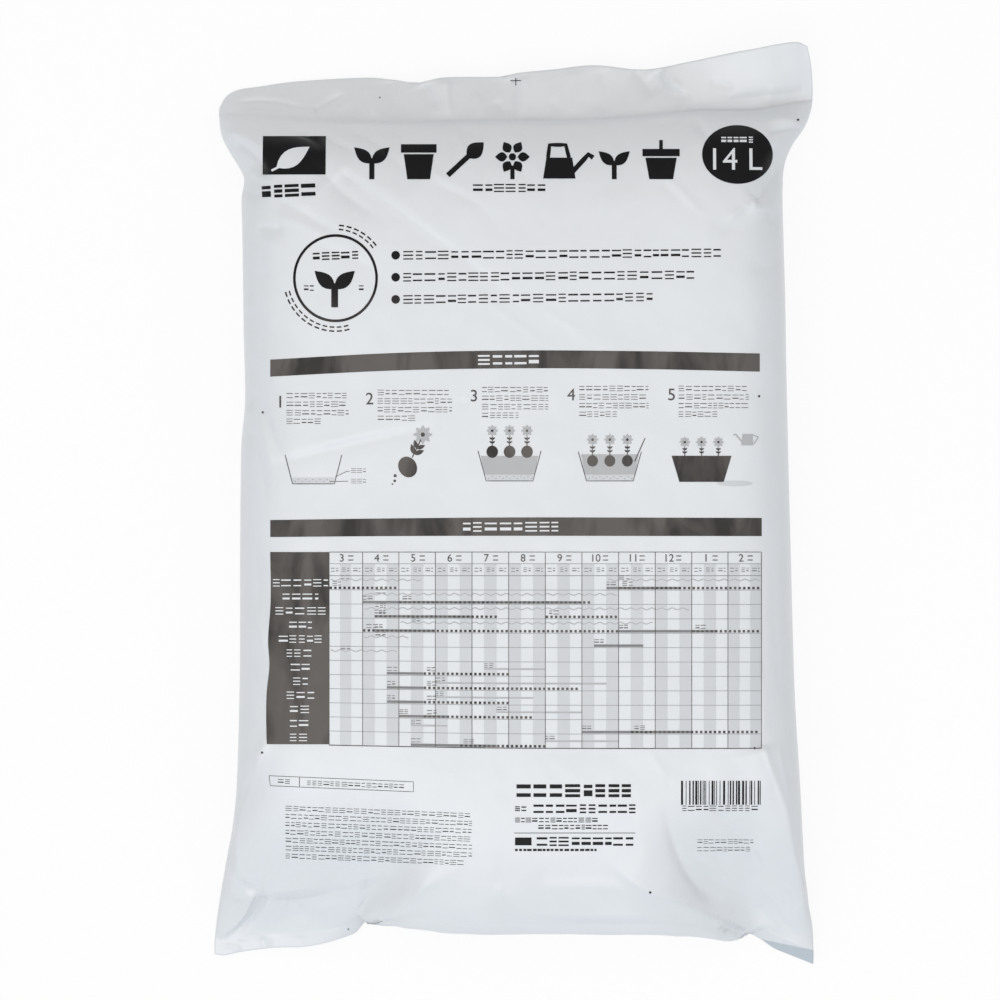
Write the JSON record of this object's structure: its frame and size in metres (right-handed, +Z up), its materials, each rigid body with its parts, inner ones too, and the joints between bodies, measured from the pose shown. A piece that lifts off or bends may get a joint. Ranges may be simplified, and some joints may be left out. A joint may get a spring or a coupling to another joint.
{
  "type": "compost bag",
  "caption": "sealed plastic film bag of compost lying flat on its back, pillow shaped, with a wide crimped band at the top, a narrow bottom seam and two flat ears",
  "frame": {"origin": "on the floor, under the middle of the bag's outline seen from above", "axes": "X across the bag, Y along it towards the top band, Z up from the floor through the thickness"},
  "size_m": [0.3722, 0.5726, 0.0956],
  "materials": {
    "printed_film": "white polyethylene film, satin gloss, with dark printed fields"
  },
  "bodies": {
    "root": {"filled_bag": "printed_film"}
  },
  "joints": []
}
